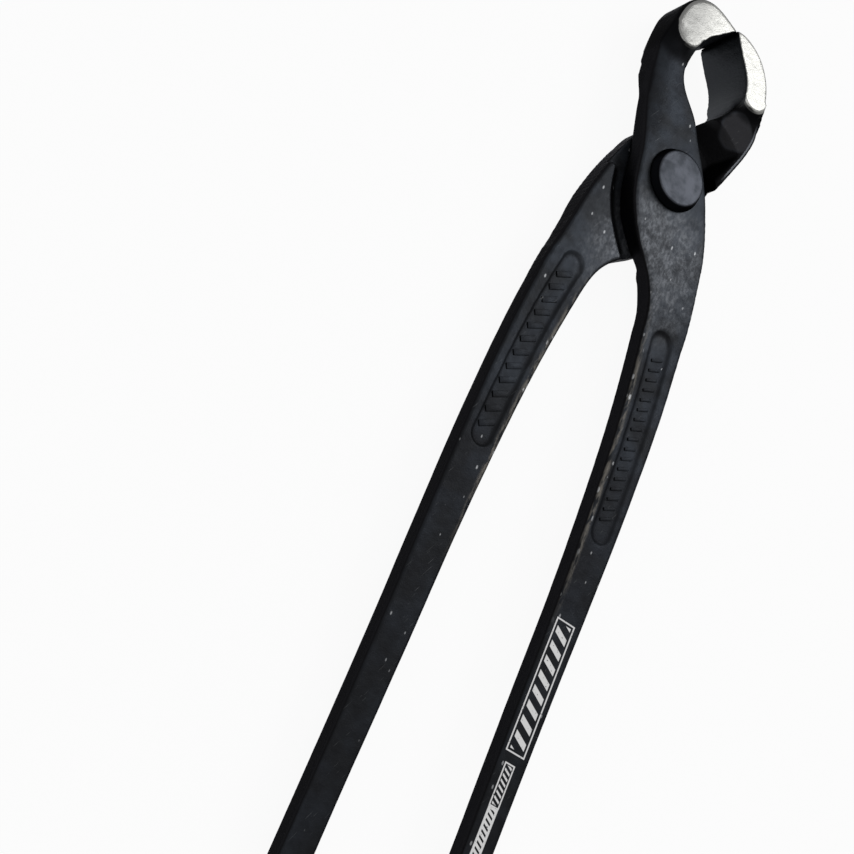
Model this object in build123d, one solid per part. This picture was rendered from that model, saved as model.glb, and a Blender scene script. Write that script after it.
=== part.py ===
"""Rebar tying pliers: two forged steel levers that cross in a lap joint on one rivet.

The frame's origin lies on the pivot axis, in the plane that the rear rivet head rests on.
+X points to the right seen from the front, +Y along the tool to the jaws, +Z to the front.
Each lever is made as it would lie in front, with its jaw on the left and its handle on the right.
The rear one is then turned over. All lengths are in millimetres.
"""
from build123d import *
from dataclasses import dataclass
import os

# Overall sizes
head_reach = 49.4            # pivot axis to the cutting edges
handle_reach = 201.0         # pivot axis to the ends of the handles
head_width = 36.4            # across both jaws
jaw_depth = 15.0             # length of the cutting edges, along the pivot axis
edge_gap = 0.1               # between the two cutting edges when the jaws are shut

# Lap joint
joint_half = 6.2             # thickness of each lever at the joint
joint_width = 22.8           # across the front lever's boss
lap_clearance = 0.1          # between the two lapped faces
step_relief = 2.2            # free width beside the other lever's boss
step_run_share = 1.1         # run of the soft step at the end of the lap, over its height
lap_low_end = 4.2            # pivot axis to where a handle's back may stand behind the lap face

# Neck and jaw
neck_start = 8.0             # pivot axis to where the neck's front face begins to sink
neck_end = 28.0              # pivot axis to where it has sunk
neck_front_drop = 0.8        # how far the neck's front face sinks towards the jaw
thin_neck_rise = 2.0         # how far the front lever's neck stands behind its lap face
thin_neck_start = 19.5       # pivot axis to the end of the front lever's lap face
thin_neck_end = 24.5         # pivot axis to where its neck's back is level again
jaw_pad_radius = 4.1         # round lower end of the jaw's flat side face
flare_length = 5.0           # run of the hollow curve from the neck up to the jaw's side
thin_flare_length = 8.0      # the same on the back of the front lever's thinner neck
jaw_lean = 3.0               # how far the front jaw's outer wall leans in at the back
lean_start = 0.6             # how far outside that wall the leaning face begins

# Pocket in the rear lever's thick neck, where the front lever crosses it
pocket_start = 4.0           # pivot axis to the lower end of the thick neck
pocket_radius = 19.4         # at the lap face
pocket_slope_run = 5.4       # how much wider the pocket is at the neck's face
pocket_lip_clear = 14.6      # pivot axis to the lower end of the lip along the outer edge
lip_top = 1.6                # width of that lip at the neck's face
lip_root = 4.6               # and at the lap face

# Handles
handle_thickness = 5.4
handle_offset = 0.9          # middle of the handle in front of the tool's middle plane
handle_spread = 39.6         # across the middles of the two handles
handle_root_width = 12.7
handle_tip_width = 8.0
handle_end_radius = 2.4
shoulder_start = 14.0        # pivot axis to where the front face begins to sink to the handle
shoulder_end = 38.0          # pivot axis to where it has sunk
face_bend_radius = 12.0      # where two stretches of a face meet

# Rounding of the edges
edge_round = 0.9             # handles, bosses and necks
jaw_front_round = 1.5        # outer edge of the jaw on the forging's front
jaw_back_round = 0.8         # and on its back

# Recessed panels in the faces of the handles
panel_depth = 0.5
panel_run_share = 1.2        # run of the panel's soft border, over its depth
outer_panel_start = 38.7     # pivot axis to the upper end of the panel on the lever's own side
outer_panel_end = 90.0
outer_panel_top_width = 6.6
outer_panel_low_width = 5.8
inner_panel_start = 34.8     # the same for the panel on the side of the lap face
inner_panel_end = 85.6
inner_panel_top_width = 6.4
inner_panel_low_width = 6.0

# Rivet
rivet_head_radius = 7.2      # at the face
rivet_head_flange = 1.1      # how much wider the head is at its root
rivet_head_height = 2.6
rivet_head_round = 0.5
rivet_shank_radius = 5.0
rivet_running_clearance = 0.06
rivet_seat_clearance = 0.05  # between a rivet head and the lever under it

overrun = 10.0               # how far a cutting solid runs past what it cuts

# Derived sizes
half_head = head_width / 2
half_joint = joint_width / 2
half_depth = jaw_depth / 2
half_spread = handle_spread / 2
lap_face = lap_clearance / 2
neck_front = joint_half - neck_front_drop
handle_front = handle_offset + handle_thickness / 2
handle_back = handle_offset - handle_thickness / 2
middle_height = joint_half + rivet_seat_clearance + rivet_head_height

# Outlines seen from the front, jaw on the left and handle on the right.
# Jaw and neck: x in shares of half the head's width, y in shares of the head's reach.
front_jaw_outer_shares = [
    (-0.154, 1.016), (-0.330, 1.032), (-0.516, 1.036), (-0.692, 1.016), (-0.830, 0.976),
    (-0.923, 0.923), (-0.978, 0.854), (-1.000, 0.769), (-0.995, 0.678), (-0.962, 0.567),
    (-0.912, 0.441), (-0.852, 0.312),
]
front_jaw_inner_shares = [
    (-0.126, 0.945), (-0.247, 0.893), (-0.363, 0.846), (-0.440, 0.798), (-0.484, 0.745),
    (-0.495, 0.678), (-0.484, 0.607), (-0.434, 0.547), (-0.340, 0.498), (-0.198, 0.449),
    (-0.055, 0.399),
]
rear_jaw_outer_shares = [
    (-0.143, 1.010), (-0.286, 1.002), (-0.434, 0.982), (-0.577, 0.949), (-0.725, 0.891),
    (-0.824, 0.830), (-0.896, 0.749), (-0.951, 0.664), (-0.984, 0.587), (-0.989, 0.514),
    (-0.962, 0.433), (-0.918, 0.350), (-0.863, 0.275),
]
rear_jaw_inner_shares = [
    (-0.115, 0.935), (-0.253, 0.872), (-0.374, 0.820), (-0.456, 0.765), (-0.505, 0.698),
    (-0.492, 0.628), (-0.406, 0.563), (-0.302, 0.510), (-0.187, 0.460), (-0.077, 0.409),
]
# How much of the lean each point of the front jaw's outer edge has, from the jaw's shoulder down.
lean_shares = [0.0, 0.35, 0.7, 1.0, 1.0, 1.0, 0.7, 0.3, 0.0]
# Boss: both in shares of half the joint's width.
boss_outer_shares = [
    (-1.210, 0.790), (-1.088, 0.333), (-0.990, -0.158), (-0.886, -0.649), (-0.720, -1.088),
    (-0.474, -1.465), (-0.175, -1.800), (0.175, -2.120),
]
front_boss_inner_shares = [
    (0.237, 1.246), (0.509, 0.868), (0.746, 0.465), (0.965, 0.053), (1.158, -0.368),
    (1.342, -0.825), (1.500, -1.350),
]
rear_boss_inner_shares = [
    (0.140, 1.570), (0.490, 1.330), (0.870, 0.990), (1.150, 0.530), (1.350, 0.020),
    (1.500, -0.474), (1.610, -0.947), (1.710, -1.456),
]
# Handle stations: distance from the pivot in shares of the handle's reach, middle in shares of
# half the spread, and the share of the taper from tip width to root width that is left.
handle_station_shares = [
    (0.154, 0.709, 1.26), (0.206, 0.816, 1.04), (0.249, 0.867, 0.957), (0.328, 0.929, 0.74),
    (0.428, 0.969, 0.52), (0.537, 0.985, 0.304), (0.672, 0.982, 0.15), (0.821, 0.992, 0.02),
    (1.000, 1.000, 0.0),
]
# Middle of the round end of the jaw's side face: shares of half the head's width and of its reach.
front_pad_centre_shares = (-0.709, 0.789)
rear_pad_centre_shares = (-0.681, 0.751)
# Points of the panel's edges, in shares of its length.
panel_station_shares = [0.0, 0.33, 0.67, 1.0]
# Half way along an edge, and how far the edge may point along the pivot axis there and still
# count as part of the outline.
half_way_share = 0.5
outline_slope_share = 0.5


@dataclass
class LeverShape:
    """What a forging has of its own."""
    jaw_outer_shares: list
    jaw_inner_shares: list
    boss_inner_shares: list
    pad_centre_shares: tuple
    neck_back: float          # height of the neck's back face
    neck_back_start: float    # pivot axis to where the neck's back begins to stand behind the lap
    neck_back_end: float      # pivot axis to where it is level again
    back_flare_length: float

    def pad_centre(self):
        """Middle of the round end of the jaw's side face."""
        across, along = self.pad_centre_shares
        return (half_head * across, head_reach * along)

    def outer_points(self):
        """The outer edge from the jaw's shoulder to the root of the handle."""
        points = [(half_head * x, head_reach * y) for x, y in self.jaw_outer_shares]
        return points + boss_edge()

    def inner_points(self):
        """The inner edge from the cutting edge to the root of the handle."""
        points = [(half_head * x, head_reach * y) for x, y in self.jaw_inner_shares]
        return points + [(half_joint * x, half_joint * y) for x, y in self.boss_inner_shares]


def boss_edge():
    """The lever's outer edge past its boss, down to the root of the handle."""
    return [(half_joint * x, half_joint * y) for x, y in boss_outer_shares]


def handle_edge(station, side):
    """One point of the handle's edge: side is -1 for the inner edge and 1 for the outer."""
    reach_share, middle_share, taper_share = station
    width = handle_tip_width + (handle_root_width - handle_tip_width) * taper_share
    return (half_spread * middle_share + side * width / 2, -handle_reach * reach_share)


def handle_middle(reach):
    """X of the middle of the handle at this distance below the pivot axis."""
    stations = handle_station_shares
    for upper, lower in zip(stations, stations[1:]):
        top = handle_reach * upper[0]
        bottom = handle_reach * lower[0]
        if reach <= bottom:
            break
    way = (reach - top) / (bottom - top)
    return half_spread * (upper[1] + (lower[1] - upper[1]) * way)


def lever_prism(shape):
    """The lever's outline, as deep as the jaws."""
    tip = (-edge_gap / 2, head_reach)
    outer = [tip] + shape.outer_points()
    outer += [handle_edge(station, -1) for station in handle_station_shares]
    inner = [tip] + shape.inner_points()
    inner += [handle_edge(station, 1) for station in handle_station_shares]
    end = Line(outer[-1], inner[-1])
    face = make_face([Spline(*outer), end, Spline(*inner)])
    prism = extrude(Pos(0, 0, -half_depth) * face, amount=jaw_depth)
    corners = prism.edges().filter_by(Axis.Z).group_by(Axis.Y)[0]
    return fillet(corners, radius=handle_end_radius)


def side_slab(shape):
    """Front and back faces of the handle, boss and neck, as a slab across the lever."""
    points = [
        (-handle_reach - overrun, handle_front),
        (-shoulder_end, handle_front),
        (-shoulder_start, joint_half),
        (neck_start, joint_half),
        (neck_end, neck_front),
        (head_reach + overrun, neck_front),
        (head_reach + overrun, shape.neck_back),
        (shape.neck_back_end, shape.neck_back),
        (shape.neck_back_start, lap_face),
        (-lap_low_end, lap_face),
        (-lap_low_end, handle_back),
        (-handle_reach - overrun, handle_back),
    ]
    side = make_face(Polyline(*points, close=True))
    soft = [-shoulder_end, -shoulder_start, neck_start]
    if shape.neck_back_end > shape.neck_back_start:
        soft += [shape.neck_back_end, shape.neck_back_start]
    bends = [corner for corner in side.vertices() if corner.X in soft]
    side = Plane.YZ * fillet(bends, radius=face_bend_radius)
    return extrude(Pos(-handle_reach, 0, 0) * side, amount=2 * handle_reach)


def outline_edges(solid):
    """Edges where the lever's outline meets its front and back faces."""
    end_line = -handle_reach + handle_end_radius
    edges = solid.edges().filter_by(
        lambda edge: abs(edge.tangent_at(half_way_share).Z) < outline_slope_share)
    return edges.filter_by(lambda edge: edge.geom_type != GeomType.LINE or edge.center().Y < end_line)


def round_edges(solid, radius, wanted):
    """Round the outline edges whose middle is wanted."""
    return fillet([edge for edge in outline_edges(solid) if wanted(edge.center())], radius=radius)


def stem(prism, shape):
    """Handle, boss and neck, up to the middle of the jaw's round end, with rounded edges."""
    top = shape.pad_centre()[1]
    reach = top + handle_reach + overrun
    below = Pos(0, top - reach / 2, 0) * Box(2 * handle_reach, reach, 2 * jaw_depth)
    solid = prism & side_slab(shape) & below
    solid = round_edges(solid, edge_round, lambda middle: middle.Z > lap_face + edge_round)
    solid = round_edges(solid, edge_round, lambda middle: middle.Z < lap_face and middle.Y < 0)
    return round_edges(
        solid, edge_round, lambda middle: middle.Z < -lap_face and middle.Y > shape.neck_back_start)


def jaw(prism, shape):
    """The jaw, as deep as the cutting edge is long, with its outer edges rounded."""
    across, along = shape.pad_centre()
    above = Pos(0, along + head_reach / 2, 0) * Box(2 * head_width, head_reach, 2 * jaw_depth)
    solid = prism & above
    solid = round_edges(solid, jaw_front_round, lambda point: point.X < across / 2 and point.Z > 0)
    return round_edges(solid, jaw_back_round, lambda point: point.X < across / 2 and point.Z < 0)


def flare(shape, start_height, end_height, run):
    """Hollow curve that rises from the neck to the round end of the jaw's side face."""
    root = (jaw_pad_radius + run, start_height)
    rim = (jaw_pad_radius, end_height)
    curve = TangentArc(root, rim, tangent=(-1, 0))
    rest = Polyline(rim, (0, end_height), (0, 0), (root[0], 0), root)
    half_turn = revolve(Plane.XZ * make_face([curve, rest]), Axis.Z, revolution_arc=180)
    return Pos(*shape.pad_centre(), 0) * Rot(0, 0, 180) * half_turn


def beside(points, distance):
    """The points of an open line, moved sideways away from the pivot axis."""
    moved = []
    for index, point in enumerate(points):
        before = Vector(*points[max(index - 1, 0)])
        after = Vector(*points[min(index + 1, len(points) - 1)])
        along = (after - before).normalized()
        away = Vector(along.Y, -along.X)
        if away.dot(Vector(*point)) < 0:
            away = -away
        moved.append(Vector(*point) + away * distance)
    return moved


def left_of(edge, height):
    """Face at this height, from an open line to the far left."""
    far = -half_spread - half_head - overrun
    frame = Polyline(edge[-1], (far, edge[-1].Y), (far, edge[0].Y), edge[0])
    return Pos(0, 0, height) * make_face([Spline(*edge), frame])


def lap_section(height):
    """Section of the lap recess on the lever's back. It widens below the lap face."""
    spread = step_relief + (lap_face - height) * step_run_share
    return left_of(beside([(-x, y) for x, y in boss_edge()[1:]], spread), height)


def lap_recess():
    """What is taken from the lever's back where the other lever's boss crosses it."""
    return loft([lap_section(lap_face), lap_section(-joint_half)], ruled=True)


def lean(shape):
    """What leaves the jaw's outer wall leaning in towards its back."""
    last = len(shape.jaw_outer_shares)
    upright = shape.outer_points()[last - len(lean_shares):last]
    outside = beside(upright, lean_start)
    leant = beside(upright, -jaw_lean)
    foot = [near + (far - near) * share for near, far, share in zip(outside, leant, lean_shares)]
    return loft([left_of(outside, 0), left_of(foot, -half_depth)], ruled=True)


def lip(shape):
    """What stays of a thick neck along its outer edge beside the pocket."""
    edge = shape.outer_points()[-len(boss_edge()) - 4:-len(boss_edge()) + 3]
    root = left_of(beside(edge, -lip_root), lap_face)
    top = left_of(beside(edge, -lip_top), shape.neck_back - edge_round)
    return loft([root, top], ruled=True)


def pocket(shape):
    """What is taken from a thick neck's back where the other lever crosses it."""
    depth = lap_face - shape.neck_back
    slope_share = (depth + overrun) / depth
    far_radius = pocket_radius + pocket_slope_run * slope_share
    cone = Pos(0, 0, lap_face - (depth + overrun) / 2) * Cone(
        far_radius, pocket_radius, depth + overrun)
    upper = Pos(0, pocket_start + head_reach / 2, 0) * Box(2 * head_width, head_reach, 4 * jaw_depth)
    clear = Pos(0, 0, lap_face - (depth + overrun) / 2) * Cylinder(pocket_lip_clear, depth + overrun)
    return (cone & upper) - lip(shape) + (clear & upper)


def panel_section(start, end, start_width, end_width, height):
    """Outline of a recessed panel: it follows the handle and has round ends."""
    left = []
    right = []
    for share in panel_station_shares:
        reach = start + (end - start) * share
        width = start_width + (end_width - start_width) * share
        middle = handle_middle(reach)
        left.append((middle - width / 2, -reach))
        right.append((middle + width / 2, -reach))
    top = (handle_middle(start), -start + start_width / 2)
    low = (handle_middle(end), -end - end_width / 2)
    top_arc = ThreePointArc(left[0], top, right[0])
    low_arc = ThreePointArc(left[-1], low, right[-1])
    return Pos(0, 0, height) * make_face([Spline(*left), low_arc, Spline(*right), top_arc])


def panel(start, end, start_width, end_width, face, inward):
    """A shallow recess in a handle face. Inward is -1 from the front face and 1 from the back."""
    border = panel_depth * panel_run_share
    mouth = panel_section(start, end, start_width + border, end_width + border,
                          face - inward * panel_depth)
    floor = panel_section(start, end, start_width - border, end_width - border,
                          face + inward * panel_depth)
    return loft([floor, mouth], ruled=True)


def forged_lever(shape, pocketed):
    """One lever. A pocketed one has a thick neck with a pocket in it for the other lever."""
    prism = lever_prism(shape)
    lever = stem(prism, shape) - lap_recess()
    if pocketed:
        lever -= pocket(shape)
    lever += jaw(prism, shape)
    lever += prism & flare(shape, neck_front, half_depth, flare_length)
    lever += prism & flare(shape, shape.neck_back, -half_depth, shape.back_flare_length)
    if not pocketed:
        lever -= lean(shape)
    lever -= panel(outer_panel_start, outer_panel_end, outer_panel_top_width,
                   outer_panel_low_width, handle_front, -1)
    lever -= panel(inner_panel_start, inner_panel_end, inner_panel_top_width,
                   inner_panel_low_width, handle_back, 1)
    bore = rivet_shank_radius + rivet_running_clearance
    return lever - Cylinder(bore, jaw_depth * 2)


def rivet_profile():
    """Half of the rivet's section: two low heads on a shank."""
    seat = joint_half + rivet_seat_clearance
    face = seat + rivet_head_height
    root = rivet_head_radius + rivet_head_flange
    return [(0, -face), (rivet_head_radius, -face), (root, -seat), (rivet_shank_radius, -seat),
            (rivet_shank_radius, seat), (root, seat), (rivet_head_radius, face), (0, face)]


def rivet():
    """The rivet, turned about the pivot axis, with rounded head rims."""
    solid = revolve(Plane.XZ * make_face(Polyline(*rivet_profile(), close=True)), Axis.Z)
    rims = solid.edges().filter_by(lambda edge: abs(edge.center().Z) > joint_half + rivet_head_height / 2)
    return fillet(rims, radius=rivet_head_round)


front_shape = LeverShape(
    front_jaw_outer_shares, front_jaw_inner_shares, front_boss_inner_shares,
    front_pad_centre_shares, -thin_neck_rise, thin_neck_start, thin_neck_end, thin_flare_length)
rear_shape = LeverShape(
    rear_jaw_outer_shares, rear_jaw_inner_shares, rear_boss_inner_shares,
    rear_pad_centre_shares, -neck_front, pocket_start, pocket_start, flare_length)

os.makedirs("parts", exist_ok=True)
lift = Pos(0, 0, middle_height)
nodes = {
    "front_lever": forged_lever(front_shape, False),
    "rear_lever": forged_lever(rear_shape, True).rotate(Axis.Y, 180),
    "pivot_rivet": rivet(),
}
for name, solid in nodes.items():
    placed = lift * solid
    print(name, round(placed.volume), "cubic millimetres", placed.bounding_box())
    export_step(placed, f"parts/{name}.step")
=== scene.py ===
"""Looks of a pair of rebar tying pliers: two black forged levers that cross on one rivet.

Lengths are in metres, in the part's own frame. The origin lies on the pivot axis, in the plane
that the rear rivet head rests on. +X is right, +Y runs to the jaws and +Z to the front.
"""

import logging
import math
from dataclasses import dataclass
from typing import Any, Sequence

import bpy
import numpy as np
from mathutils import Matrix, Vector


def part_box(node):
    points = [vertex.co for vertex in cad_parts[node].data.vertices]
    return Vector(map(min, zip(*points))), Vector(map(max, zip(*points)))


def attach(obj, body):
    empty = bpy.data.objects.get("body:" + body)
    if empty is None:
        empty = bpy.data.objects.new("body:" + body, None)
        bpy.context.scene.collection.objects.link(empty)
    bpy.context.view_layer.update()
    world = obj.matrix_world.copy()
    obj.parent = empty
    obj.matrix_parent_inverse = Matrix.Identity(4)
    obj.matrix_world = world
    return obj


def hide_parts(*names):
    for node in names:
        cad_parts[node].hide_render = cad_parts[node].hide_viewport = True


MM = 0.001
RIDGE = "ridge"
LEFT_RIM = "left_rim"
RIGHT_RIM = "right_rim"
NECK_HIGHLIGHT = "neck_highlight"
METALLIC = 0.9
SPECULAR_LEVEL = 0.2
SPECULAR_TINT = (0.35, 0.35, 0.37, 1.0)

log = logging.getLogger("pliers")

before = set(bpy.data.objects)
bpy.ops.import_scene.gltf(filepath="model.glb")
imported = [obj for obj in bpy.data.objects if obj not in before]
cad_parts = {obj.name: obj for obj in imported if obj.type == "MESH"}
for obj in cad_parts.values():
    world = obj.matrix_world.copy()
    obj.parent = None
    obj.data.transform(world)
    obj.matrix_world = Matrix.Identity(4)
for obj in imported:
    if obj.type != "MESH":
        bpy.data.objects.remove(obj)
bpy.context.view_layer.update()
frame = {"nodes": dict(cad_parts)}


class Signal:
    """One output socket in a material, with the sums that the finishes are written in."""

    def __init__(self, board: "Board", socket: bpy.types.NodeSocket) -> None:
        """Wrap a socket.

        Args:
            board: The node board that the socket belongs to.
            socket: The output socket.
        """
        self.board = board
        self.socket = socket

    def __add__(self, other: "Signal | float") -> "Signal":
        """The sum of two values."""
        return self.board.maths("ADD", self, other)

    def __radd__(self, other: float) -> "Signal":
        """The sum, with the number first."""
        return self.board.maths("ADD", other, self)

    def __sub__(self, other: "Signal | float") -> "Signal":
        """The difference of two values."""
        return self.board.maths("SUBTRACT", self, other)

    def __rsub__(self, other: float) -> "Signal":
        """The difference, with the number first."""
        return self.board.maths("SUBTRACT", other, self)

    def __mul__(self, other: "Signal | float") -> "Signal":
        """The product of two values."""
        return self.board.maths("MULTIPLY", self, other)

    def __rmul__(self, other: float) -> "Signal":
        """The product, with the number first."""
        return self.board.maths("MULTIPLY", other, self)

    def __truediv__(self, other: "Signal | float") -> "Signal":
        """The quotient of two values."""
        return self.board.maths("DIVIDE", self, other)

    def __mod__(self, other: float) -> "Signal":
        """What is left over after whole steps."""
        return self.board.maths("FLOORED_MODULO", self, other)

    def __pow__(self, power: float) -> "Signal":
        """The value raised to a power."""
        return self.board.maths("POWER", self, power)

    def __abs__(self) -> "Signal":
        """The size of the value without its sign."""
        return self.board.maths("ABSOLUTE", self)

    def ramp(self, start: float, end: float) -> "Signal":
        """A soft step of the value.

        Args:
            start: Where the step is 0.
            end: Where the step is 1. It may lie below the start.

        Returns:
            0 on one side, 1 on the other and a smooth curve between.
        """
        if end < start:
            return 1 - self.ramp(end, start)
        node = self.board.node(
            "ShaderNodeMapRange", {"interpolation_type": "SMOOTHSTEP"},
            {"Value": self, "From Min": start, "From Max": end})
        return Signal(self.board, node.outputs["Result"])

    def within(self, low: float, high: float, soft: float) -> "Signal":
        """A band of the value.

        Args:
            low: Lower edge of the band.
            high: Upper edge of the band.
            soft: How wide each of its edges is.

        Returns:
            1 inside the band and 0 outside it.
        """
        return self.ramp(low - soft / 2, low + soft / 2) * self.ramp(high + soft / 2, high - soft / 2)


class Board:
    """The node tree of one material, and the few ways that nodes are added to it."""

    def __init__(self, name: str) -> None:
        """Make an empty material.

        Args:
            name: Name of the new material.
        """
        self.material = bpy.data.materials.new(name)
        self.material.use_nodes = True
        self.tree = self.material.node_tree
        self.tree.nodes.clear()

    def node(self, kind: str, settings: dict[str, Any], values: dict[Any, Any]) -> bpy.types.Node:
        """Add one node.

        Args:
            kind: The node's type.
            settings: Its own settings, which are set first.
            values: A value or a signal for each socket, by the socket's name or number.

        Returns:
            The new node.
        """
        node = self.tree.nodes.new(kind)
        for key, setting in settings.items():
            setattr(node, key, setting)
        for key, value in values.items():
            if isinstance(value, Signal):
                self.tree.links.new(value.socket, node.inputs[key])
            else:
                node.inputs[key].default_value = value
        return node

    def maths(self, operation: str, *values: "Signal | float") -> Signal:
        """Add a Math node.

        Args:
            operation: What it works out.
            values: Its one or two values.

        Returns:
            Its result.
        """
        node = self.node("ShaderNodeMath", {"operation": operation}, dict(enumerate(values)))
        return Signal(self, node.outputs[0])

    def either(self, first: Signal, second: Signal) -> Signal:
        """The higher of two masks."""
        return self.maths("MAXIMUM", first, second)

    def millimetres(self) -> Signal:
        """The place on the piece in its own frame, in millimetres."""
        place = self.node("ShaderNodeTexCoord", {}, {}).outputs["Object"]
        node = self.node("ShaderNodeVectorMath", {"operation": "SCALE"},
                         {0: Signal(self, place), "Scale": 1 / MM})
        return Signal(self, node.outputs["Vector"])

    def facing(self) -> Signal:
        """How squarely the surface faces the front or the back: 0 on walls and 1 on faces."""
        normal = self.node("ShaderNodeTexCoord", {}, {}).outputs["Normal"]
        return abs(self.split(Signal(self, normal))[2])

    def kept(self, name: str) -> Signal:
        """A value that the piece keeps at each of its points, or 0 on a piece that has none."""
        node = self.node("ShaderNodeAttribute", {"attribute_name": name}, {})
        return Signal(self, node.outputs["Fac"])

    def split(self, vector: Signal) -> tuple[Signal, Signal, Signal]:
        """The three parts of a vector."""
        node = self.node("ShaderNodeSeparateXYZ", {}, {0: vector})
        return tuple(Signal(self, socket) for socket in node.outputs)

    def turned(self, vector: Signal, degrees: float) -> Signal:
        """The vector turned about the pivot axis."""
        node = self.node("ShaderNodeVectorRotate", {"rotation_type": "Z_AXIS"},
                         {"Vector": vector, "Angle": math.radians(degrees)})
        return Signal(self, node.outputs[0])

    def stretched(self, vector: Signal, factors: Sequence[float]) -> Signal:
        """The vector with each of its parts multiplied by its own factor."""
        node = self.node("ShaderNodeVectorMath", {"operation": "MULTIPLY"}, {0: vector, 1: factors})
        return Signal(self, node.outputs["Vector"])

    def noise(self, vector: Signal, size: float, detail: float) -> Signal:
        """Cloudy noise from 0 to 1.

        Args:
            vector: The place.
            size: Size of one cloud, in the place's own unit.
            detail: How many finer layers are added.

        Returns:
            The noise.
        """
        node = self.node("ShaderNodeTexNoise", {},
                         {"Vector": vector, "Scale": 1 / size, "Detail": detail})
        return Signal(self, node.outputs[0])

    def mixed(self, factor: Signal, first: Any, second: Any) -> Signal:
        """A colour between two colours.

        Args:
            factor: 0 for the first colour and 1 for the second.
            first: A colour or a signal.
            second: A colour or a signal.

        Returns:
            The mixed colour.
        """
        node = self.tree.nodes.new("ShaderNodeMix")
        node.data_type = "RGBA"
        inputs = [socket for socket in node.inputs if socket.enabled]
        for socket, value in zip(inputs, (factor, first, second)):
            if isinstance(value, Signal):
                self.tree.links.new(value.socket, socket)
            else:
                socket.default_value = value
        return Signal(self, next(socket for socket in node.outputs if socket.enabled))

    def bump(self, height: Signal, depth: float) -> Signal:
        """A normal for this height, which is 1 at a depth in metres."""
        node = self.node("ShaderNodeBump", {},
                         {"Height": height, "Distance": depth, "Strength": 1.0})
        return Signal(self, node.outputs[0])

    def finish(self, sockets: dict[str, Any]) -> bpy.types.Material:
        """Close the material with the surface shader.

        Args:
            sockets: A value or a signal for each socket of the shader.

        Returns:
            The finished material.
        """
        shader = self.node("ShaderNodeBsdfPrincipled", {}, sockets)
        self.node("ShaderNodeOutputMaterial", {}, {"Surface": Signal(self, shader.outputs[0])})
        return self.material


def colour(red: float, green: float, blue: float) -> tuple[float, float, float, float]:
    """A colour from the values from 0 to 255 that it has on a screen, by the sRGB curve.

    Args:
        red: Red.
        green: Green.
        blue: Blue.

    Returns:
        The colour as linear light, with full cover.
    """
    linear = []
    for share in (red / 255, green / 255, blue / 255):
        linear.append(share / 12.92 if share <= 0.04045 else ((share + 0.055) / 1.055) ** 2.4)
    return (*linear, 1.0)


@dataclass(frozen=True)
class Cloud:
    """Cloudy noise that is cut to a mask with soft edges."""

    size: float
    cut: tuple[float, float]
    detail: float = 2.0
    stretch: tuple[float, ...] = (1.0, 1.0, 1.0)

    def mask(self, board: Board, place: Signal) -> Signal:
        """1 in the clouds and 0 between them."""
        place = board.stretched(place, self.stretch)
        return board.noise(place, self.size, self.detail).ramp(*self.cut)


@dataclass(frozen=True)
class Dots:
    """Scattered soft dots: a share of the places in a loose grid, and a radius in grid steps."""

    spacing: float
    share: float
    radius: float
    stretch: tuple[float, ...] = (1.0, 1.0, 1.0)
    choice: float = 0.01

    def mask(self, board: Board, place: Signal) -> Signal:
        """Build the mask.

        Args:
            board: The material's board.
            place: The place, in millimetres.

        Returns:
            1 inside the dots and 0 outside them.
        """
        place = board.stretched(place, self.stretch)
        node = board.node("ShaderNodeTexVoronoi", {}, {"Vector": place, "Scale": 1 / self.spacing})
        near = Signal(board, node.outputs["Distance"]).ramp(self.radius, self.radius / 2)
        chance = board.split(Signal(board, node.outputs["Color"]))[0]
        return near * chance.ramp(1 - self.share, 1 - self.share + self.choice)


@dataclass(frozen=True)
class Grain:
    """Fine grain and gentle swells of a surface."""

    fine_size: float
    swell_size: float
    swell_detail: float
    swell_share: float
    depth: float
    fine_detail: float = 3.0

    def normal(self, board: Board, place: Signal) -> Signal:
        """Build the bump.

        Args:
            board: The material's board.
            place: The place, in millimetres.

        Returns:
            The surface normal.
        """
        fine = board.noise(place, self.fine_size, self.fine_detail)
        swell = board.noise(place, self.swell_size, self.swell_detail)
        return board.bump(fine + self.swell_share * swell, self.depth)


@dataclass(frozen=True)
class Spot:
    """A place on the surface, in millimetres, with the masks that depend on it."""

    board: Board
    place: Signal
    across: Signal
    along: Signal
    height: Signal
    face: Signal

    @classmethod
    def on(cls, board: Board, middle: float,
           slopes: tuple[float, float] = (0.62, 0.985)) -> "Spot":
        """Read the place from the board.

        Args:
            board: The material's board.
            middle: Height of the tool's middle plane, in metres.
            slopes: How squarely the surface faces the front where a face begins and where it is full.

        Returns:
            The place.
        """
        place = board.millimetres()
        across, along, height = board.split(place)
        face = board.facing().ramp(*slopes)
        return cls(board, place, across, along, height - middle / MM, face)

    def off(self, centre: tuple[float, float], reach: tuple[float, float]) -> Signal:
        """Distance from a point on the front.

        Args:
            centre: The point.
            reach: The length that counts as 1 in each direction.

        Returns:
            The distance.
        """
        side = (self.across - centre[0]) / reach[0]
        way = (self.along - centre[1]) / reach[1]
        return (side * side + way * way) ** 0.5


@dataclass(frozen=True)
class PrintField:
    """A straight-sided field of the print, in millimetres."""

    side: tuple[float, float]
    ends: tuple[float, float]
    soft: float = 0.12

    def inside(self, spot: Spot, inset: float = 0.0) -> Signal:
        """1 inside the field, drawn in all round by an inset."""
        wide = spot.across.within(self.side[0] + inset, self.side[1] - inset, self.soft)
        return wide * spot.along.within(self.ends[0] + inset, self.ends[1] - inset, self.soft)

    def outline(self, spot: Spot, line: float) -> Signal:
        """1 on a line of this width round the field."""
        return self.inside(spot) * (1 - self.inside(spot, line))

    def bars(self, way: Signal, step: float, share: float) -> Signal:
        """1 on the first share of each step, endlessly repeated along a way."""
        return ((way % step) / step).within(0.0, share, self.soft / step)


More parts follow.
